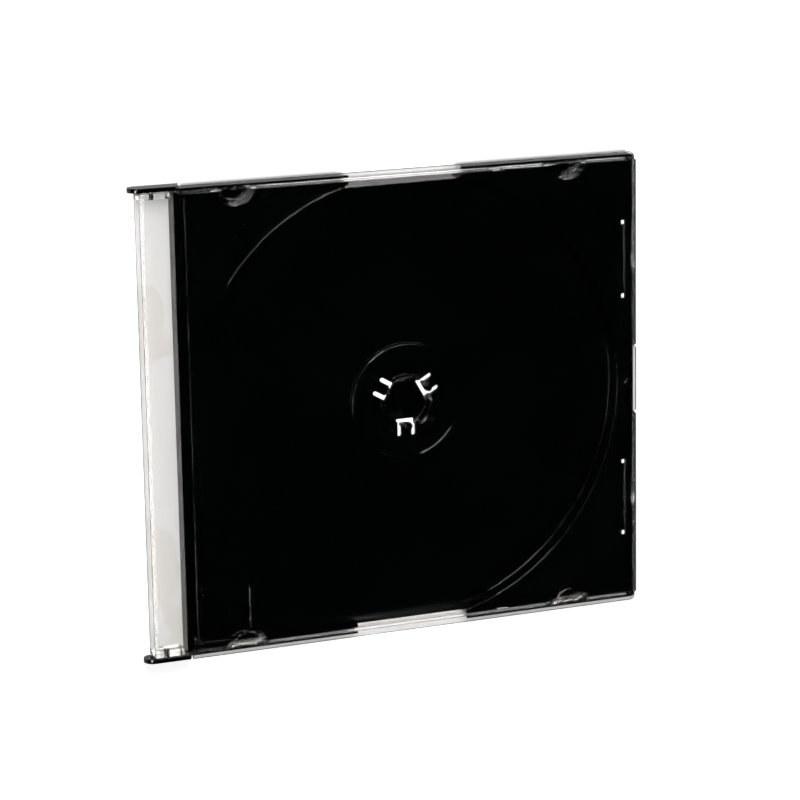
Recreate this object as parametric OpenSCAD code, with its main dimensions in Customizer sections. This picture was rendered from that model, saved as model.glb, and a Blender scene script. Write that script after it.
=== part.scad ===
// Slim disc case: a black base with a sprung disc hub, and a clear lid hinged between two arms.
// The case lies on its back. X runs from the hinge to the opening edge, Y along the hinge, Z up
// through the lid. The origin is the middle of the back.

/* [Case] */
// Width, from the tips of the hinge arms to the opening edge
case_w = 142; // [138:1:160]
// Height, over the front panel and the arms
case_h = 125; // [125:1:140]
// Thickness of the closed case
case_t = 5.2; // [5:0.1:7]

/* [Disc] */
// Diameter of the disc
disc_d = 120; // [80:1:121]
// Diameter of the hole in the disc
disc_hole_d = 15; // [14:0.1:16]
// Thickness of the disc
disc_t = 1.2; // [0.8:0.1:1.4]
// Distance from the middle of the hub to the opening edge
hub_from_edge = 66.8; // [66:0.1:68]

/* [Lid] */
// Thickness of the clear front panel
panel_t = 1.0; // [0.8:0.1:1.4]
// Thickness of the two side walls of the lid, which stand in channels of the base
lid_wall = 0.7; // [0.6:0.05:0.9]
// Distance that the lid's edge stays back behind the lip of the base
lip_gap = 0.15; // [0.1:0.05:0.4]
// Thickness of the spine wall
spine_t = 1.2; // [0.8:0.1:1.6]
// Distance from the arm tips in to the outer face of the spine
spine_inset = 2.4; // [2:0.1:3]
// Radius of the long outer corner of the spine
spine_r = 0.8; // [0.3:0.1:1]
// Radius of the corners at the opening edge, seen from the front
corner_r = 1.5; // [0.5:0.1:3]
// Radius of the lower corners of the side walls at the opening edge
heel_r = 2.2; // [0.5:0.1:2.4]
// Height of the lid's lower rims above the surface that the base lies on
rim_lift = 0.15; // [0.1:0.05:0.4]

/* [Booklet tabs] */
// Distance of each tab from the middle of the hub, along the case
tab_dx = 46.8; // [40:0.1:50]
// Radius of a tab at its lower face
tab_r = 4.2; // [3:0.1:5]
// Width of the bevel round a tab
tab_bevel = 0.2; // [0.1:0.05:0.5]
// Thickness of a tab
tab_t = 1.1; // [0.6:0.1:1.2]
// Distance from the outer face of the lid in to the middle of a tab's round edge
tab_set = 1.0; // [0.6:0.1:1.2]
// Free space between a side wall of the lid and the ends of a bridge or channel
bridge_gap = 0.4; // [0.3:0.05:0.8]
// Space for the booklet, between a tab and the front panel
booklet_gap = 0.9; // [0.6:0.1:1]

/* [Catches] */
// Distance of the side bumps from the opening edge
bump_from_edge = 40.4; // [20:0.1:60]
// Length of a side bump
bump_l = 3.2; // [1:0.1:6]
// Height of a side bump
bump_h = 0.25; // [0.1:0.05:0.35]
// Free space beside a side bump
bump_gap = 0.3; // [0.2:0.05:0.6]
// Distance of the edge catches from the middle of the case
catch_y = 32.8; // [20:0.1:50]
// Length of an edge catch
catch_l = 4.4; // [2:0.1:8]
// Width of an edge catch
catch_w = 0.5; // [0.3:0.1:0.6]
// Depth of an edge catch below the front panel
catch_h = 0.5; // [0.3:0.1:0.8]
// Free space round an edge catch
catch_gap = 0.25; // [0.1:0.05:0.4]

/* [Base] */
// Thickness of the floor and of the disc seat
floor_t = 1.0; // [0.8:0.1:1.2]
// Thickness of the two long walls
base_wall = 1.2; // [0.8:0.1:1.6]
// Thickness of the wall beside the spine
inner_wall = 1.9; // [1:0.1:2.4]
// Thickness of the wall at the opening edge
edge_wall = 1.2; // [0.9:0.1:1.6]
// Gap on both sides of each side wall of the lid
side_gap = 0.15; // [0.1:0.05:0.3]
// Thickness of the rail outside each channel
rail_t = 0.6; // [0.5:0.05:0.8]
// Distance from the edge of the front panel in to the outer face of a rail
rail_inset = 0.7; // [0.5:0.05:0.9]
// Gap between the tops of the walls and the front panel
lid_gap = 0.2; // [0.1:0.05:0.4]
// Thickness of the lip along the opening edge, in front of the lid's edge
lip_t = 0.4; // [0.3:0.05:0.5]
// Distance of the lip's top below the front of the case
lip_drop = 0.1; // [0.05:0.05:0.4]
// Radius of the base's corners at the opening edge
base_corner_r = 1.5; // [0.5:0.1:2]

/* [Notches] */
// Length of the two finger notches
finger_l = 31.6; // [20:0.1:40]
// Distance that a finger notch reaches in from the side of the base
finger_d = 3.0; // [1.5:0.1:4]
// Thickness of the floor at the rim of a finger notch
finger_lip = 0.5; // [0.3:0.1:0.8]
// Slant of the rail's ends at a finger notch
finger_slant = 1.5; // [0.5:0.1:3]
// Length of the thumb notch at the opening edge
thumb_l = 19.2; // [10:0.1:30]
// Depth of the thumb notch
thumb_d = 0.6; // [0.5:0.05:0.7]
// Gap at each end of the lid's tongue in the thumb notch
tongue_gap = 0.8; // [0.6:0.1:1.5]
// Free space round a tab in its recess
tab_gap = 1.1; // [0.3:0.1:1.4]
// Thickness of the wall round a recess
collar_t = 0.8; // [0.6:0.1:1.2]

/* [Disc well] */
// Gap between the disc and the foot of the wall round the well
well_gap = 0.4; // [0.2:0.1:1]
// How much further out the top of that wall is
well_slope = 1.0; // [0.2:0.1:1.2]
// Thickness of the raised deck round the well, and of the wall under its edge
deck_t = 1.0; // [0.8:0.1:1.2]

/* [Hub] */
// Height of the disc seat above the back
seat_h = 2.0; // [1.8:0.1:2.2]
// Diameter of the disc seat
seat_d = 31.2; // [26:0.1:36]
// Radial gap between the hub and the hole in the disc
hub_gap = 0.3; // [0.25:0.05:0.4]
// Thickness of the upright wall of the hub
hub_wall = 1.0; // [0.8:0.1:1.2]
// Bevel round the top of the hub
hub_bevel = 0.35; // [0.1:0.05:0.5]
// Number of sprung fingers
finger_n = 3; // [3:1:4]
// Width of a sprung finger
spring_w = 2.9; // [2:0.1:3.4]
// Width of the upright tip of a finger
tip_w = 2.0; // [1.4:0.1:2.8]
// Free space between a slot and the end of the hub's ring beside it
ring_gap = 0.8; // [0:0.1:1.2]
// Width of the slot round a finger
slot_w = 1.1; // [0.8:0.1:1.2]
// Distance from the middle of the hub to the root of a finger
spring_root = 9.6; // [9.4:0.1:11]
// How far the hook of a finger stands out from the hub
hook_out = 0.2; // [0.1:0.05:0.2]
// Gap between the disc and the hooks above it
hook_gap = 0.1; // [0.05:0.05:0.2]
// Height over which a hook slopes out
hook_rise = 0.25; // [0.1:0.05:0.25]
// Height of the upright face of a hook
hook_face = 0.1; // [0.05:0.05:0.15]

/* [Deck details] */
// Length of the two grooves beside the edge wall, with the holes at their ends
groove_l = 21.4; // [14:0.1:26]
// Width of these grooves
groove_w = 0.7; // [0.5:0.1:1.2]
// Depth of these grooves
groove_d = 0.4; // [0.2:0.1:0.6]
// Distance of the middle of these grooves from the middle line
groove_y = 33.2; // [30:0.1:40]
// Distance from the opening edge in to the middle of these grooves
groove_in = 3.5; // [2.1:0.1:4]
// Width of the trough between the wall beside the spine and the long rib
trough_w = 1.0; // [0.8:0.1:1.1]
// Thickness of the long rib
long_rib_t = 0.7; // [0.6:0.1:0.8]
// Side of the square holes at the ends of the grooves and of the long rib
mark_hole = 1.2; // [0.8:0.1:1.6]
// Width of the three breaks in the long rib
rib_break = 0.8; // [0.4:0.1:1.2]
// Depth of these breaks
rib_break_d = 0.4; // [0.2:0.1:1]
// Distance of the first break from the middle line, on one side
rib_break_y1 = 46; // [20:1:54]
// Distance of the second break from the middle line, on the other side
rib_break_y2 = 41; // [20:1:46]
// Distance of the third break from the middle line, on that side
rib_break_y3 = 52; // [48:1:55]
// Length of the shallow panel in the deck
inlay_l = 14.0; // [8:0.1:18]
// Width of the shallow panel in the deck
inlay_w = 14.6; // [8:0.1:16]
// Depth of the shallow marks in the deck
mark_d = 0.15; // [0.1:0.05:0.3]
// Diameter of the round mark by the edge wall
round_mark_d = 2.0; // [1:0.1:3]

/* [Hinge] */
// Thickness of the two arms
arm_t = 1.2; // [1:0.1:1.4]
// Gap between an arm and the end of the lid's strip
arm_gap = 0.3; // [0.2:0.05:0.5]
// Distance from the arm tips to the hinge line
pivot_inset = 5.9; // [5.4:0.1:6.5]
// Free space between the swing of the spine and the base
swing_gap = 1.2; // [0.8:0.1:2]
// Length of an arm past the base's inner end, at the back
arm_root = 2.9; // [2.6:0.1:3.4]
// Slant of the arm's end, from back to front
arm_slant = 2.3; // [0.5:0.1:2.4]
// Gap between the end of an arm and the side wall of the lid
arm_end_gap = 0.7; // [0.5:0.1:1]
// Diameter of the hinge pins
pin_d = 1.6; // [1.2:0.1:2]
// Length of a hinge pin
pin_l = 1.8; // [1:0.1:2.4]
// Radial gap between a pin and its hole
pin_gap = 0.05; // [0.02:0.01:0.1]
// Thickness of the cheeks at the ends of the lid's strip
cheek_t = 1.6; // [1:0.1:2]
// Gap between the round end of a cheek and the base
cheek_gap = 0.7; // [0.4:0.1:1]

/* [Hidden] */
$fn = 64;
fine_fn = 180;
cut = 1;
weld = 0.3;

half_h = case_h / 2;
tip_x = -case_w / 2;
edge_x = case_w / 2;
panel_z = case_t - panel_t;
wall_top = panel_z - lid_gap;

pivot_x = tip_x + pivot_inset;
pivot_z = case_t / 2;
spine_x = tip_x + spine_inset;
spine_swing = norm([pivot_inset - spine_inset, pivot_z]);
inner_x = pivot_x + spine_swing + swing_gap;
arm_back_x = inner_x + arm_root;
lid_edge_x = edge_x - lip_t - lip_gap;
rail_y1 = half_h - rail_inset;
rail_y0 = rail_y1 - rail_t;
wall_y1 = rail_y0 - side_gap;
wall_y0 = wall_y1 - lid_wall;
base_y = wall_y0 - side_gap;
arm_y = half_h - arm_t;
strip_y = arm_y - arm_gap;
cheek_r = spine_swing + swing_gap - cheek_gap;

hub_x = edge_x - hub_from_edge;
hub_r = disc_hole_d / 2 - hub_gap;
seat_r = seat_d / 2;
well_r = disc_d / 2 + well_gap;
well_top_r = well_r + well_slope;
disc_top = seat_h + disc_t;
hook_z = disc_top + hook_gap;

tab_top = panel_z - booklet_gap;
tab_z = tab_top - tab_t;
tab_xs = [hub_x - tab_dx, hub_x + tab_dx];
bump_x = edge_x - bump_from_edge;

room_y = base_y - base_wall;
room_x0 = inner_x + inner_wall;
room_x1 = edge_x - edge_wall;
recess_r = tab_r + tab_gap;
bridge_half = recess_r + collar_t;
long_rib_x = room_x0 + trough_w;
pocket_x = long_rib_x + long_rib_t;
rib_breaks = [rib_break_y1, -rib_break_y2, -rib_break_y3];
inlay_y = -room_y + weld;

// Repeats what it is given on the other side of the middle line
module both_sides() {
    children();
    mirror([0, 1, 0]) children();
}

// Stands an outline drawn in X and Z upright, between two distances from the middle line
module upright(y0, y1) {
    translate([0, y1, 0]) rotate([90, 0, 0]) linear_extrude(y1 - y0) children();
}

// Plate outline with rounded corners at the opening edge only
module edge_plate(x0, x1, y1, r) {
    difference() {
        translate([x0, -y1]) square([x1 - x0, 2 * y1]);
        for (s = [-1, 1])
            translate([x1 - r, s * (y1 - r)]) difference() {
                translate([0, s > 0 ? 0 : -r - cut]) square(r + cut);
                circle(r);
            }
    }
}

// Side view of an arm: round tip, slanted end
module arm_outline() {
    translate([tip_x + pivot_z, pivot_z]) circle(pivot_z, $fn = fine_fn);
    polygon([[tip_x + pivot_z, 0], [arm_back_x, 0], [arm_back_x - arm_slant, case_t],
             [tip_x + pivot_z, case_t]]);
}

// Arm with its hinge pin
module hinge_arm() {
    upright(arm_y, half_h) arm_outline();
    translate([pivot_x, arm_y + weld, pivot_z]) rotate([90, 0, 0]) cylinder(d = pin_d, h = pin_l + weld);
}

// Channel beside a long wall, open through the floor, for a side wall of the lid
module wall_channel() {
    upright(base_y, rail_y0) polygon([
        [arm_back_x, -cut], [arm_back_x, 0], [arm_back_x - arm_slant, case_t], [room_x1, case_t],
        [room_x1, -cut]]);
}

// Round well for the disc, a little wider at its top
module disc_well() {
    well_h = wall_top - floor_t;
    translate([hub_x, 0, floor_t])
        cylinder(r1 = well_r, r2 = well_top_r + cut * well_slope / well_h, h = well_h + cut, $fn = fine_fn);
}

// Hollow under the deck, open at the back, with the walls left standing round it
module deck_pockets() {
    translate([0, 0, -cut]) linear_extrude(wall_top - deck_t + cut) difference() {
        translate([pocket_x, -room_y]) square([room_x1 - pocket_x, 2 * room_y]);
        translate([hub_x, 0]) circle(well_top_r + deck_t, $fn = fine_fn);
        for (x = tab_xs) for (s = [-1, 1])
            translate([x, s * (half_h - tab_set)]) circle(bridge_half);
    }
}

// Half-round recess in the deck, for a tab of the lid
module tab_recess(x) {
    intersection() {
        translate([x, half_h - tab_set, floor_t]) cylinder(r = recess_r, h = case_t);
        translate([x - recess_r, 0, floor_t]) cube([2 * recess_r, base_y + side_gap, case_t]);
    }
}

// Trough between the wall beside the spine and the long rib
module trough() {
    translate([room_x0, -room_y, floor_t]) cube([trough_w, 2 * room_y, case_t]);
}

// Floor and deck with the walls, the channels, and the bridges across them at the tabs
module tray() {
    difference() {
        linear_extrude(wall_top) edge_plate(inner_x, edge_x, rail_y1, base_corner_r);
        disc_well();
        deck_pockets();
        trough();
        both_sides() {
            wall_channel();
            for (x = tab_xs) tab_recess(x);
        }
    }
    both_sides() for (x = tab_xs)
        translate([x - bridge_half, base_y - weld, 0])
            cube([2 * bridge_half, rail_y0 - base_y + 2 * weld, floor_t]);
    lip_y = rail_y1 - base_corner_r;
    translate([edge_x - lip_t, -lip_y, 0]) cube([lip_t, 2 * lip_y, case_t - lip_drop]);
}

// Disc seat and the ring of the hub, bevelled on top, before the slots are cut
module hub_body() {
    rotate_extrude($fn = fine_fn) polygon([
        [0, 0], [seat_r, 0], [seat_r, seat_h - hub_bevel], [seat_r - hub_bevel, seat_h], [hub_r, seat_h],
        [hub_r, wall_top - hub_bevel], [hub_r - hub_bevel, wall_top], [hub_r - hub_wall, wall_top],
        [hub_r - hub_wall, floor_t], [0, floor_t]]);
}

// Hollow under the seat, open at the back
module seat_hollow() {
    translate([0, 0, -cut]) linear_extrude(seat_h - floor_t + cut) difference() {
        circle(seat_r - floor_t, $fn = fine_fn);
        circle(hub_r, $fn = fine_fn);
    }
}

// U-shaped slot that frees one finger, open towards the rim of the seat
module spring_slot() {
    leg_y = (spring_w + slot_w) / 2;
    inner_r = hub_r - hub_wall - slot_w;
    translate([0, 0, -cut]) linear_extrude(case_t + 2 * cut) {
        for (s = [-1, 1]) {
            translate([inner_r, s * leg_y - slot_w / 2]) square([spring_root - slot_w / 2 - inner_r, slot_w]);
            translate([spring_root - slot_w / 2, s * leg_y]) circle(d = slot_w);
        }
        translate([inner_r, -leg_y]) square([slot_w, 2 * leg_y]);
    }
}

// Cuts the hub's ring back beside a finger, above the seat, and narrows the finger's tip
module ring_gaps() {
    gap_y = spring_w / 2 + slot_w + ring_gap;
    for (s = [-1, 1])
        translate([0, s > 0 ? tip_w / 2 : -gap_y, seat_h])
            cube([hub_r + hook_out + weld, gap_y - tip_w / 2, case_t]);
}

// Hook on a finger: a wedge that the disc snaps past
module spring_hook() {
    low_z = hook_z + hook_rise;
    top_z = low_z + hook_face;
    intersection() {
        rotate_extrude($fn = fine_fn) polygon([
            [hub_r - hub_wall / 2, hook_z], [hub_r, hook_z], [hub_r + hook_out, low_z],
            [hub_r + hook_out, top_z], [hub_r - hub_bevel, wall_top],
            [hub_r - hub_wall / 2, wall_top]]);
        translate([0, -tip_w / 2, 0]) cube([seat_r, tip_w, case_t]);
    }
}

// Places its children at each finger of the hub, the first towards the bottom wall
module at_each_finger() {
    for (i = [0 : finger_n - 1])
        translate([hub_x, 0, 0]) rotate([0, 0, i * 360 / finger_n - 90]) children();
}

// Slanted cut through a long wall, where the rim of the disc is gripped, and the gap in the rail
module finger_notch() {
    x0 = hub_x - finger_l / 2;
    x1 = hub_x + finger_l / 2;
    translate([x0, 0, 0]) rotate([90, 0, 90]) linear_extrude(finger_l)
        polygon([[base_y - finger_d, case_t], [base_y - finger_d, floor_t], [base_y, finger_lip],
                 [base_y + side_gap, finger_lip], [base_y + side_gap, case_t]]);
    upright(base_y, half_h) polygon([[x0 - finger_slant, -cut], [x0 - finger_slant, 0], [x0, wall_top],
                                     [x0, case_t], [x1, case_t], [x1, wall_top],
                                     [x1 + finger_slant, 0], [x1 + finger_slant, -cut]]);
}

// Shallow groove in a long wall, for a side bump of the lid
module bump_notch() {
    translate([bump_x - bump_l / 2 - bump_gap, wall_y0 - bump_h - side_gap, -cut])
        cube([bump_l + 2 * bump_gap, bump_h + side_gap, case_t + cut]);
}

// Shallow scoop in the edge wall, for the thumb
module thumb_notch() {
    translate([edge_x - thumb_d, 0, -cut]) linear_extrude(case_t + 2 * cut) {
        translate([thumb_d, -thumb_l / 2 + thumb_d]) circle(thumb_d);
        translate([thumb_d, thumb_l / 2 - thumb_d]) circle(thumb_d);
        translate([0, -thumb_l / 2 + thumb_d]) square([thumb_d + cut, thumb_l - 2 * thumb_d]);
    }
}

// Step in the top of the edge wall, for a catch of the lid
module catch_notch() {
    translate([lid_edge_x - catch_w, catch_y - catch_l / 2, panel_z - catch_h])
        translate([-catch_gap, -catch_gap, -catch_gap])
            cube([catch_w + lip_gap + catch_gap, catch_l + 2 * catch_gap, case_t]);
}

// Groove in the deck beside the edge wall, with a square hole at each end
module edge_groove() {
    groove_x = edge_x - groove_in;
    translate([groove_x - groove_w / 2, groove_y - groove_l / 2, wall_top - groove_d])
        cube([groove_w, groove_l, cut]);
    for (y = [groove_y - groove_l / 2, groove_y + groove_l / 2 - mark_hole])
        translate([groove_x - mark_hole / 2, y, -cut]) cube([mark_hole, mark_hole, case_t + cut]);
}

// Long upright rib beside the trough, with three breaks in its top
module long_rib() {
    difference() {
        translate([long_rib_x, -room_y - weld, 0]) cube([long_rib_t, 2 * (room_y + weld), wall_top]);
        for (y = rib_breaks)
            translate([long_rib_x - cut, y - rib_break / 2, wall_top - rib_break_d])
                cube([long_rib_t + 2 * cut, rib_break, cut]);
    }
}

// Square hole, shallow panel and round mark in the deck
module deck_marks() {
    translate([long_rib_x + (long_rib_t - mark_hole) / 2, -room_y, -cut])
        cube([mark_hole, mark_hole, case_t + cut]);
    translate([pocket_x, inlay_y, wall_top - mark_d]) cube([inlay_l, inlay_w, cut]);
    translate([edge_x - groove_in, 0, wall_top - mark_d]) cylinder(d = round_mark_d, h = cut);
}

// Half-moon tab, bevelled towards the front panel
module booklet_tab(x) {
    intersection() {
        translate([x, half_h - tab_set, tab_z]) cylinder(r1 = tab_r, r2 = tab_r - tab_bevel, h = tab_t);
        translate([x - tab_r, half_h - tab_set - tab_r, tab_z])
            cube([2 * tab_r, tab_r + tab_set + wall_y0 - half_h + weld, tab_t]);
    }
}

// Opening in a side wall of the lid, between a tab and the front panel
module tab_window(x) {
    translate([x - tab_r + tab_bevel, wall_y0 - cut, tab_top])
        cube([2 * (tab_r - tab_bevel), lid_wall + 2 * cut, booklet_gap]);
}

// Side view of a side wall of the lid: slanted at the arm, round at the heel, stepped over the bridges
module side_wall_outline() {
    back_x = arm_back_x + arm_end_gap;
    end_x = room_x1 - bridge_gap;
    difference() {
        union() {
            polygon([[back_x - arm_slant, case_t], [back_x, 0], [back_x, rim_lift],
                     [end_x - heel_r, rim_lift], [end_x, rim_lift + heel_r], [end_x, case_t]]);
            translate([end_x - heel_r, rim_lift + heel_r]) circle(heel_r);
        }
        for (x = tab_xs) translate([x - bridge_half - bridge_gap, -cut])
            square([2 * (bridge_half + bridge_gap), floor_t + lid_gap + cut]);
    }
}

// Side view of the spine: an upright wall with a round outer corner
module spine_outline() {
    difference() {
        translate([spine_x, rim_lift]) square([spine_t, case_t - rim_lift]);
        translate([spine_x + spine_r, case_t - spine_r]) difference() {
            translate([-spine_r - cut, 0]) square(spine_r + cut);
            circle(spine_r);
        }
    }
}

// Side view of a cheek: the part of the spine's end that turns about the pin
module cheek_outline() {
    difference() {
        intersection() {
            translate([spine_x + spine_t / 2, rim_lift]) square([2 * cheek_r, panel_z - rim_lift + weld]);
            translate([pivot_x, pivot_z]) circle(cheek_r, $fn = fine_fn);
        }
        translate([pivot_x, pivot_z]) circle(d = pin_d + 2 * pin_gap);
    }
}

// Outline of the front panel: a narrower strip between the arms, a tongue in the thumb notch
module panel_outline() {
    wall_x = arm_back_x + arm_end_gap - arm_slant;
    tongue_l = thumb_l - 2 * tongue_gap;
    edge_plate(wall_x, lid_edge_x, half_h, corner_r);
    translate([spine_x + spine_r, -strip_y]) square([wall_x - spine_x, 2 * strip_y]);
    translate([lid_edge_x - weld, -tongue_l / 2]) square([edge_x - lid_edge_x + weld, tongue_l]);
}

module base() {
    color([0.02, 0.02, 0.02]) difference() {
        union() {
            tray();
            both_sides() hinge_arm();
            long_rib();
            translate([hub_x, 0, 0]) hub_body();
            at_each_finger() spring_hook();
        }
        translate([hub_x, 0, 0]) seat_hollow();
        at_each_finger() {
            spring_slot();
            ring_gaps();
        }
        both_sides() {
            finger_notch();
            catch_notch();
            bump_notch();
            edge_groove();
        }
        thumb_notch();
        deck_marks();
    }
}

module lid() {
    color([0.91, 0.89, 0.87, 0.35]) difference() {
        union() {
            translate([0, 0, panel_z]) linear_extrude(panel_t) panel_outline();
            upright(-strip_y, strip_y) spine_outline();
            both_sides() {
                upright(wall_y0, wall_y1) side_wall_outline();
                upright(strip_y - cheek_t, strip_y) cheek_outline();
                for (x = tab_xs) booklet_tab(x);
                translate([bump_x - bump_l / 2, wall_y0 - bump_h, rim_lift])
                    cube([bump_l, bump_h + weld, panel_z]);
                translate([lid_edge_x - catch_w, catch_y - catch_l / 2, panel_z - catch_h])
                    cube([catch_w, catch_l, catch_h + weld]);
            }
        }
        both_sides() for (x = tab_xs) tab_window(x);
    }
}

base();
lid();
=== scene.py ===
import math

import bmesh
import bpy
from mathutils import Matrix, Vector


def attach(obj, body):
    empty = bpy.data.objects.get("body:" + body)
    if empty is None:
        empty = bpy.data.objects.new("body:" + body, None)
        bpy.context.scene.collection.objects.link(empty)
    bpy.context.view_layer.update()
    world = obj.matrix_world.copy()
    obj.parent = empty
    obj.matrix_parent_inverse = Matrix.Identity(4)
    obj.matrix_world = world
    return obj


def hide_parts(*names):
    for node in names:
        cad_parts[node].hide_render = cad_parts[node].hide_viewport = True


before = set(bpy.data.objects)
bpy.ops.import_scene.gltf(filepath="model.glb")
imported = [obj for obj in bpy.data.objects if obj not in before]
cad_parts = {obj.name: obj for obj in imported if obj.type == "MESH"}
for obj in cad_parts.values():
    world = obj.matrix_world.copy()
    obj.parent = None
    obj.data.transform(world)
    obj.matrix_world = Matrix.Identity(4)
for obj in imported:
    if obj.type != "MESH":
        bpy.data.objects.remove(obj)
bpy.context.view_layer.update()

mm = 0.001
print("frame loaded")

# The lens stood to the left of the case and a little above its middle
camera = {
    "target": (0.04 * mm, 6.02 * mm, 2.6 * mm),  # a point on the lens axis
    "distance": 802.4 * mm,
    "turn": 21.917,  # degrees to the left of square on
    "rise": 12.221,  # degrees above square on
    "roll": -1.05,
    "sensor": 36,
    "lens": 136.37,
    "shift": (0.0105, -0.0249),
    "clip": (0.01, 50),
}


def addCamera():
    turn, rise, roll = (math.radians(camera[k]) for k in ("turn", "rise", "roll"))
    flat = math.cos(rise)
    toLens = Vector((-math.sin(turn) * flat, math.sin(rise), math.cos(turn) * flat))
    level = Vector((0, 1, 0)).cross(toLens).normalized()
    upright = toLens.cross(level)
    right = level * math.cos(roll) + upright * math.sin(roll)
    up = upright * math.cos(roll) - level * math.sin(roll)
    data = bpy.data.cameras.new("camera")
    data.sensor_width = camera["sensor"]
    data.lens = camera["lens"]
    data.shift_x, data.shift_y = camera["shift"]
    data.clip_start, data.clip_end = camera["clip"]
    ob = bpy.data.objects.new("camera", data)
    bpy.context.scene.collection.objects.link(ob)
    place = Vector(camera["target"]) + toLens * camera["distance"]
    axes = Matrix((right, up, toLens)).transposed()
    ob.matrix_world = Matrix.Translation(place) @ axes.to_4x4()
    bpy.context.scene.camera = ob


addCamera()
bpy.context.scene.view_settings.view_transform = "Standard"
print("camera placed")


def newMaterial(name):
    mat = bpy.data.materials.new(name)
    mat.use_nodes = True
    tree = mat.node_tree
    tree.nodes.clear()
    return mat, tree


def link(tree, a, b):
    tree.links.new(a, b)


def addCalc(tree, kind, a, b=None):
    step = tree.nodes.new("ShaderNodeMath")
    step.operation = kind
    for place, value in enumerate((a, b)):
        if isinstance(value, (int, float)):
            step.inputs[place].default_value = value
        elif value is not None:
            link(tree, value, step.inputs[place])
    return step.outputs[0]


def addRamp(tree, value, low, high, start=0.0, end=1.0):
    ramp = tree.nodes.new("ShaderNodeMapRange")
    link(tree, value, ramp.inputs["Value"])
    limits = {"From Min": low, "From Max": high, "To Min": start, "To Max": end}
    for name, number in limits.items():
        ramp.inputs[name].default_value = number
    return ramp.outputs[0]


# 1 between low and high, 0 outside
def addBand(tree, value, low, high, soft):
    rise = addRamp(tree, value, low - soft, low + soft)
    fall = addRamp(tree, value, high - soft, high + soft, 1.0, 0.0)
    return addCalc(tree, "MULTIPLY", rise, fall)


floor = {
    "side": 12.0,
    "tone": (0.55, 0.55, 0.55),
    "seen": 0.80,  # how bright the lens sees it where no lamp reaches
    "through": 0.33,  # the same through clear plastic
    "mirrored": 0.10,
    "under": 0.90,  # painted light: glow added on the floor below the base, so its slots show white
}
# painted light: where the floor glows brighter below the base, a pool of light seen through its
# slots
paintedLightUnderBase = {
    "x": (-56.0 * mm, 70.0 * mm),
    "y": (-59.0 * mm, 59.0 * mm),
}
shade = {
    "across": (59.0 * mm, 62.3 * mm),  # where the long walls of the case keep light off
    "ends": (-56.0 * mm, 70.6 * mm),
    "notch": (-11.8 * mm, 20.2 * mm),
    "soft": 0.25 * mm,
    "deep": 0.80,
}


def addFloor():
    bpy.ops.object.select_all(action="DESELECT")
    bpy.ops.mesh.primitive_plane_add(size=floor["side"], location=(0, 0, 0))
    ob = bpy.context.object
    ob.name = "floor"
    mat, tree = newMaterial("floorWhite")
    out = tree.nodes.new("ShaderNodeOutputMaterial")
    add = tree.nodes.new("ShaderNodeAddShader")
    dull = tree.nodes.new("ShaderNodeBsdfDiffuse")
    dull.inputs["Color"].default_value = (*floor["tone"], 1)
    glow = tree.nodes.new("ShaderNodeEmission")
    path = tree.nodes.new("ShaderNodeLightPath")
    spot = tree.nodes.new("ShaderNodeTexCoord")
    axes = tree.nodes.new("ShaderNodeSeparateXYZ")
    link(tree, spot.outputs["Object"], axes.inputs[0])
    x, y = axes.outputs["X"], axes.outputs["Y"]
    across = addBand(tree, addCalc(tree, "ABSOLUTE", y), *shade["across"], shade["soft"])
    along = addBand(tree, x, *shade["ends"], shade["soft"])
    notch = addBand(tree, x, *shade["notch"], shade["soft"])
    along = addCalc(tree, "MULTIPLY", along, addCalc(tree, "SUBTRACT", 1.0, notch))
    dark = addCalc(tree, "MULTIPLY", addCalc(tree, "MULTIPLY", across, along), shade["deep"])
    # painted light: a brighter glow on the floor below the base
    inside = addBand(tree, x, *paintedLightUnderBase["x"], shade["soft"])
    inside = addCalc(tree, "MULTIPLY", inside, addBand(tree, y, *paintedLightUnderBase["y"], shade["soft"]))
    bright = addRamp(tree, inside, 0.0, 1.0, floor["through"], floor["through"] + floor["under"])
    crossed = path.outputs["Is Transmission Ray"]
    turned = addCalc(tree, "SUBTRACT", 1.0, crossed)  # a ray out of clear plastic is glossy too
    turned = addCalc(tree, "MULTIPLY", path.outputs["Is Glossy Ray"], turned)
    total = addCalc(tree, "MULTIPLY", path.outputs["Is Camera Ray"], floor["seen"])
    total = addCalc(tree, "ADD", total, addCalc(tree, "MULTIPLY", crossed, bright))
    total = addCalc(tree, "ADD", total, addCalc(tree, "MULTIPLY", turned, floor["mirrored"]))
    total = addCalc(tree, "MULTIPLY", total, addCalc(tree, "SUBTRACT", 1.0, dark))
    link(tree, total, glow.inputs["Strength"])
    link(tree, dull.outputs[0], add.inputs[0])
    link(tree, glow.outputs[0], add.inputs[1])
    link(tree, add.outputs[0], out.inputs["Surface"])
    ob.data.materials.append(mat)


surround = {"dim": 0.001, "through": 0.25}


# White for the lens, paler through clear plastic, nearly black in reflections
def addSurround():
    world = bpy.data.worlds.new("surround")
    bpy.context.scene.world = world
    world.use_nodes = True
    tree = world.node_tree
    tree.nodes.clear()
    out = tree.nodes.new("ShaderNodeOutputWorld")
    back = tree.nodes.new("ShaderNodeBackground")
    path = tree.nodes.new("ShaderNodeLightPath")
    unturned = addCalc(tree, "LESS_THAN", path.outputs["Glossy Depth"], 0.5)
    through = addCalc(tree, "MULTIPLY", path.outputs["Is Transmission Ray"], unturned)
    through = addCalc(tree, "MULTIPLY", through, surround["through"])
    seen = addCalc(tree, "MAXIMUM", path.outputs["Is Camera Ray"], through)
    link(tree, addRamp(tree, seen, 0.0, 1.0, surround["dim"], 1.0), back.inputs["Strength"])
    link(tree, back.outputs[0], out.inputs["Surface"])


softBoxes = {
    "upperLeft": {
        "towards": (-0.22, 0.66, 0.72),
        "distance": 1.2,
        "size": 0.45,
        "power": 8.0,
        "mirrored": False,
    },
    "lowerRight": {
        "towards": (0.64, -0.64, 0.42),
        "distance": 1.2,
        "size": 0.45,
        "power": 8.0,
        "mirrored": True,
    },
}


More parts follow.
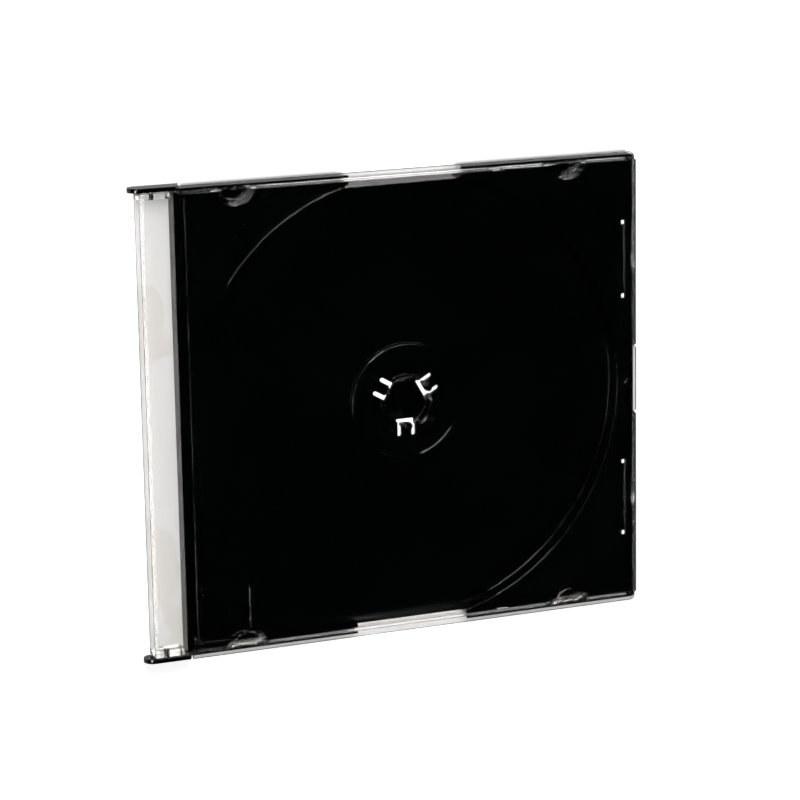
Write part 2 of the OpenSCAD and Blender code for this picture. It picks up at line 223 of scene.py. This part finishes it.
def addSoftBoxes():
    for name, box in softBoxes.items():
        data = bpy.data.lights.new(name, "AREA")
        data.shape = "SQUARE"
        data.size = box["size"]
        data.energy = box["power"]
        ob = bpy.data.objects.new(name, data)
        bpy.context.scene.collection.objects.link(ob)
        away = Vector(box["towards"]).normalized()
        ob.location = away * box["distance"]
        ob.visible_glossy = box["mirrored"]
        ob.rotation_euler = away.to_track_quat("Z", "Y").to_euler()


# Pale panels round the lens, seen only in reflections. Turn is in degrees, and once is the
# share of the strength that a first reflection shows.
glowPanels = (
    {"turn": 25, "out": 0.60, "side": 0.40, "strength": 13.0, "once": 0.35},
    {"turn": 65, "out": 0.60, "side": 0.40, "strength": 13.0, "once": 0.35},
    {"turn": 105, "out": 0.60, "side": 0.40, "strength": 13.0, "once": 0.35},
    {"turn": 145, "out": 0.60, "side": 0.40, "strength": 11.0, "once": 0.35},
    {"turn": 180, "out": 0.60, "side": 0.40, "strength": 3.0, "once": 1.0},
    {"turn": 198, "out": 1.02, "side": 0.50, "strength": 14.0, "once": 0.9},
)
panelHeight = 1.2


def addGlowPanel(panel):
    mat, tree = newMaterial("panelGlow")
    out = tree.nodes.new("ShaderNodeOutputMaterial")
    glow = tree.nodes.new("ShaderNodeEmission")
    path = tree.nodes.new("ShaderNodeLightPath")
    depth = path.outputs["Glossy Depth"]
    turned = addCalc(tree, "GREATER_THAN", depth, 0.5)
    turned = addCalc(tree, "MULTIPLY", turned, path.outputs["Is Glossy Ray"])
    again = addCalc(tree, "GREATER_THAN", depth, 1.5)
    once = panel["once"] * panel["strength"]
    level = addRamp(tree, again, 0.0, 1.0, once, panel["strength"])
    link(tree, addCalc(tree, "MULTIPLY", turned, level), glow.inputs["Strength"])
    link(tree, glow.outputs[0], out.inputs["Surface"])
    mat.cycles.emission_sampling = "NONE"
    turn = math.radians(panel["turn"])
    place = (panel["out"] * math.cos(turn), panel["out"] * math.sin(turn), panelHeight)
    bpy.ops.object.select_all(action="DESELECT")
    bpy.ops.mesh.primitive_plane_add(
        size=panel["side"], location=place, rotation=(math.pi, 0, turn)
    )
    ob = bpy.context.object
    ob.name = "glowPanel"
    ob.visible_camera = ob.visible_diffuse = ob.visible_shadow = False
    ob.data.materials.append(mat)


addFloor()
addSurround()
addSoftBoxes()
for panel in glowPanels:
    addGlowPanel(panel)
print("floor and lamps set")


def newGroup(name, inputs, outputs):
    tree = bpy.data.node_groups.new(name, "ShaderNodeTree")
    for label, kind, value in inputs:
        socket = tree.interface.new_socket(label, in_out="INPUT", socket_type=kind)
        if value is not None:
            socket.default_value = value
    for label, kind in outputs:
        tree.interface.new_socket(label, in_out="OUTPUT", socket_type=kind)
    return tree, tree.nodes.new("NodeGroupInput"), tree.nodes.new("NodeGroupOutput")


hairlineLook = {
    "turns": (0.35, 1.9, 2.7),
    "stretch": (0.12, 1.6, 1.0),
    "detail": 1.0,
    "middle": 0.5,  # each line runs where the noise crosses this value
    "patches": 90.0,
}


def makeHairlines():
    inputs = [
        ("Vector", "NodeSocketVector", None),
        ("Scale", "NodeSocketFloat", 60.0),
        ("Thinness", "NodeSocketFloat", 0.006),
        ("Share", "NodeSocketFloat", 0.55),
    ]
    tree, given, result = newGroup("hairlines", inputs, [("Mask", "NodeSocketFloat")])
    total = None
    for turn in hairlineLook["turns"]:
        place = tree.nodes.new("ShaderNodeMapping")
        place.inputs["Rotation"].default_value = (0, 0, turn)
        place.inputs["Scale"].default_value = hairlineLook["stretch"]
        grain = tree.nodes.new("ShaderNodeTexNoise")
        grain.inputs["Detail"].default_value = hairlineLook["detail"]
        link(tree, given.outputs["Vector"], place.inputs["Vector"])
        link(tree, place.outputs[0], grain.inputs["Vector"])
        link(tree, given.outputs["Scale"], grain.inputs["Scale"])
        off = addCalc(tree, "SUBTRACT", grain.outputs[0], hairlineLook["middle"])
        off = addCalc(tree, "ABSOLUTE", off)
        line = addCalc(tree, "LESS_THAN", off, given.outputs["Thinness"])
        total = line if total is None else addCalc(tree, "MAXIMUM", total, line)
    where = tree.nodes.new("ShaderNodeTexNoise")
    link(tree, given.outputs["Vector"], where.inputs["Vector"])
    where.inputs["Scale"].default_value = hairlineLook["patches"]
    patch = addCalc(tree, "GREATER_THAN", where.outputs[0], given.outputs["Share"])
    link(tree, addCalc(tree, "MULTIPLY", total, patch), result.inputs["Mask"])
    return tree


dustLook = {"rare": (0.8, 1.0)}  # the cells that hold a speck, and how large it grows


def makeDust():
    inputs = [
        ("Vector", "NodeSocketVector", None),
        ("Scale", "NodeSocketFloat", 900.0),
        ("Size", "NodeSocketFloat", 0.10),
    ]
    tree, given, result = newGroup("dust", inputs, [("Mask", "NodeSocketFloat")])
    cells = tree.nodes.new("ShaderNodeTexVoronoi")
    link(tree, given.outputs["Vector"], cells.inputs["Vector"])
    link(tree, given.outputs["Scale"], cells.inputs["Scale"])
    parts = tree.nodes.new("ShaderNodeSeparateColor")
    link(tree, cells.outputs["Color"], parts.inputs[0])
    share = addRamp(tree, parts.outputs[0], *dustLook["rare"])
    reach = addCalc(tree, "MULTIPLY", given.outputs["Size"], share)
    speck = addCalc(tree, "LESS_THAN", cells.outputs["Distance"], reach)
    link(tree, speck, result.inputs["Mask"])
    return tree


def makeMouldedSkin():
    inputs = [
        ("Vector", "NodeSocketVector", None),
        ("Scale", "NodeSocketFloat", 30.0),
        ("Height", "NodeSocketFloat", 0.02 * mm),
    ]
    outputs = [("Tone", "NodeSocketFloat"), ("Normal", "NodeSocketVector")]
    tree, given, result = newGroup("mouldedSkin", inputs, outputs)
    flow = tree.nodes.new("ShaderNodeTexNoise")
    flow.inputs["Detail"].default_value = 2.0
    link(tree, given.outputs["Vector"], flow.inputs["Vector"])
    link(tree, given.outputs["Scale"], flow.inputs["Scale"])
    bump = tree.nodes.new("ShaderNodeBump")
    bump.inputs["Strength"].default_value = 1.0
    link(tree, given.outputs["Height"], bump.inputs["Distance"])
    link(tree, flow.outputs[0], bump.inputs["Height"])
    link(tree, flow.outputs[0], result.inputs["Tone"])
    link(tree, bump.outputs[0], result.inputs["Normal"])
    return tree


hairlines, dust, mouldedSkin = makeHairlines(), makeDust(), makeMouldedSkin()


def useGroup(tree, group, **values):
    node = tree.nodes.new("ShaderNodeGroup")
    node.node_tree = group
    for name, value in values.items():
        if isinstance(value, (int, float)):
            node.inputs[name].default_value = value
        else:
            link(tree, value, node.inputs[name])
    return node.outputs


def addBlend(tree, share, a, b):
    blend = tree.nodes.new("ShaderNodeMix")
    blend.data_type = "RGBA"
    link(tree, share, blend.inputs[0])
    for place, value in ((6, a), (7, b)):  # the two colour inputs
        if isinstance(value, tuple):
            blend.inputs[place].default_value = (*value, 1)
        else:
            link(tree, value, blend.inputs[place])
    return blend.outputs[2]


blackPlastic = {
    "flow": {"Scale": 45.0, "Height": 0.012 * mm},
    "specks": {"Scale": 420.0, "Size": 0.07},
    "lines": {"Scale": 150.0, "Thinness": 0.003, "Share": 0.62},
    "tone": (0.0003, 0.0005, 0.0005),
    "worn": (0.0006, 0.0008, 0.0008),  # where the moulding cooled last
    "wornFrom": (0.35, 0.65),
    "dusty": (0.02, 0.02, 0.02),
    "smooth": 0.018,
    "dull": 0.045,
    "dullFrom": (0.3, 0.7),
    "scuffed": 0.05,
    "shine": 0.5,
    "paintedShadeLevel": 0.0,  # painted shade: the upright walls round the hub reflect nothing and stay black
    "ior": 1.59,
}
hubWalls = {
    "x": 4.2 * mm,
    "radii": (6.2 * mm, 7.2 * mm, 15.6 * mm),
    "near": 0.04 * mm,
    "soft": 0.01 * mm,
}


# 1 on the upright walls round the hub, told by their distance from its axis; there the
# reflection is taken off as painted shade
def addHubWalls(tree, spot):
    flatSpot = tree.nodes.new("ShaderNodeVectorMath")
    flatSpot.operation = "MULTIPLY"
    link(tree, spot, flatSpot.inputs[0])
    flatSpot.inputs[1].default_value = (1, 1, 0)
    away = tree.nodes.new("ShaderNodeVectorMath")
    away.operation = "DISTANCE"
    link(tree, flatSpot.outputs[0], away.inputs[0])
    away.inputs[1].default_value = (hubWalls["x"], 0, 0)
    total = 0.0
    for radius in hubWalls["radii"]:
        low, high = radius - hubWalls["near"], radius + hubWalls["near"]
        wall = addBand(tree, away.outputs["Value"], low, high, hubWalls["soft"])
        total = addCalc(tree, "ADD", wall, total)
    return total


def paintBlack():
    mat, tree = newMaterial("blackPolystyrene")
    out = tree.nodes.new("ShaderNodeOutputMaterial")
    skin = tree.nodes.new("ShaderNodeBsdfPrincipled")
    spot = tree.nodes.new("ShaderNodeTexCoord").outputs["Object"]
    wavy = useGroup(tree, mouldedSkin, Vector=spot, **blackPlastic["flow"])
    specks = useGroup(tree, dust, Vector=spot, **blackPlastic["specks"])
    lines = useGroup(tree, hairlines, Vector=spot, **blackPlastic["lines"])
    worn = addRamp(tree, wavy["Tone"], *blackPlastic["wornFrom"])
    tone = addBlend(tree, worn, blackPlastic["tone"], blackPlastic["worn"])
    tone = addBlend(tree, specks["Mask"], tone, blackPlastic["dusty"])
    link(tree, tone, skin.inputs["Base Color"])
    levels = blackPlastic["smooth"], blackPlastic["dull"]
    gloss = addRamp(tree, wavy["Tone"], *blackPlastic["dullFrom"], *levels)
    scuffed = addCalc(tree, "MULTIPLY", lines["Mask"], blackPlastic["scuffed"])
    link(tree, addCalc(tree, "ADD", gloss, scuffed), skin.inputs["Roughness"])
    # painted shade: no reflection on the upright walls round the hub
    levels = blackPlastic["shine"], blackPlastic["paintedShadeLevel"]
    shine = addRamp(tree, addHubWalls(tree, spot), 0.0, 1.0, *levels)
    link(tree, shine, skin.inputs["Specular IOR Level"])
    link(tree, wavy["Normal"], skin.inputs["Normal"])
    skin.inputs["IOR"].default_value = blackPlastic["ior"]
    link(tree, skin.outputs[0], out.inputs["Surface"])
    return mat


clearPlastic = {
    "flow": {"Scale": 35.0, "Height": 0.01 * mm},
    "lines": {"Scale": 120.0, "Thinness": 0.002, "Share": 0.66},
    "tone": (0.975, 0.965, 0.96),
    "strip": (0.905, 0.885, 0.855),  # painted shade: the strip over the hinge is tinted darker and warmer, for the shaded floor seen through it
    # painted reflection: paler patches on the strip, with crisp edges from the noise
    "stripPale": (0.955, 0.95, 0.94),
    "paintedReflectionFrom": (0.50, 0.515),
    "stripEnd": -58.0 * mm,
    "scuffed": 0.035,
    "shadow": (0.9, 0.89, 0.88),
    "ior": 1.59,
}


def paintClear():
    mat, tree = newMaterial("clearPolystyrene")
    out = tree.nodes.new("ShaderNodeOutputMaterial")
    skin = tree.nodes.new("ShaderNodeBsdfPrincipled")
    spot = tree.nodes.new("ShaderNodeTexCoord").outputs["Object"]
    axes = tree.nodes.new("ShaderNodeSeparateXYZ")
    link(tree, spot, axes.inputs[0])
    wavy = useGroup(tree, mouldedSkin, Vector=spot, **clearPlastic["flow"])
    lines = useGroup(tree, hairlines, Vector=spot, **clearPlastic["lines"])
    # painted shade on the strip over the hinge, broken by paler patches of painted reflection
    paintedReflectionPatch = addRamp(tree, wavy["Tone"], *clearPlastic["paintedReflectionFrom"])
    strip = addBlend(tree, paintedReflectionPatch, clearPlastic["strip"], clearPlastic["stripPale"])
    onStrip = addCalc(tree, "LESS_THAN", axes.outputs["X"], clearPlastic["stripEnd"])
    tone = addBlend(tree, onStrip, clearPlastic["tone"], strip)
    link(tree, tone, skin.inputs["Base Color"])
    scuffed = addCalc(tree, "MULTIPLY", lines["Mask"], clearPlastic["scuffed"])
    link(tree, scuffed, skin.inputs["Roughness"])
    link(tree, wavy["Normal"], skin.inputs["Normal"])
    skin.inputs["IOR"].default_value = clearPlastic["ior"]
    skin.inputs["Transmission Weight"].default_value = 1.0
    clear = tree.nodes.new("ShaderNodeBsdfTransparent")
    clear.inputs["Color"].default_value = (*clearPlastic["shadow"], 1)
    path = tree.nodes.new("ShaderNodeLightPath")
    mix = tree.nodes.new("ShaderNodeMixShader")
    link(tree, path.outputs["Is Shadow Ray"], mix.inputs[0])
    link(tree, skin.outputs[0], mix.inputs[1])
    link(tree, clear.outputs[0], mix.inputs[2])
    link(tree, mix.outputs[0], out.inputs["Surface"])
    return mat


weld = 0.001 * mm
smoothed = 34  # degrees between faces that shade as one
evenness = 50
baseRim = {"width": 0.12 * mm, "steps": 3, "sharp": 24, "flat": 0.4}
lidRim = {"width": 0.12 * mm, "steps": 3, "sharp": 24, "flat": 0.4}


# A copy of the node's own mesh with rounded edges
def addSoftened(node, rim, paint):
    mesh = bmesh.new()
    mesh.from_mesh(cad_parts[node].data)
    bmesh.ops.remove_doubles(mesh, verts=mesh.verts, dist=weld)
    bmesh.ops.dissolve_limit(
        mesh,
        angle_limit=math.radians(rim["flat"]),
        verts=mesh.verts,
        edges=mesh.edges,
        delimit={"NORMAL"},
    )
    bmesh.ops.recalc_face_normals(mesh, faces=mesh.faces)
    data = bpy.data.meshes.new(node + "Softened")
    mesh.to_mesh(data)
    mesh.free()
    ob = bpy.data.objects.new(node + "Softened", data)
    bpy.context.scene.collection.objects.link(ob)
    data.materials.append(paint)
    bpy.ops.object.select_all(action="DESELECT")
    ob.select_set(True)
    bpy.context.view_layer.objects.active = ob
    edge = ob.modifiers.new("edges", "BEVEL")
    edge.width = rim["width"]
    edge.segments = rim["steps"]
    edge.limit_method = "ANGLE"
    edge.angle_limit = math.radians(rim["sharp"])
    edge.use_clamp_overlap = False
    edge.miter_outer = "MITER_ARC"
    bpy.ops.object.modifier_apply(modifier=edge.name)
    bpy.ops.object.shade_smooth_by_angle(angle=math.radians(smoothed))
    even = ob.modifiers.new("even", "WEIGHTED_NORMAL")
    even.keep_sharp = True
    even.weight = evenness
    bpy.ops.object.modifier_apply(modifier=even.name)
    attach(ob, node)
    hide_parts(node)
    print(node, "softened:", len(ob.data.vertices), "vertices", len(ob.data.polygons), "faces")


addSoftened("base", baseRim, paintBlack())
addSoftened("lid", lidRim, paintClear())
print("pieces made")
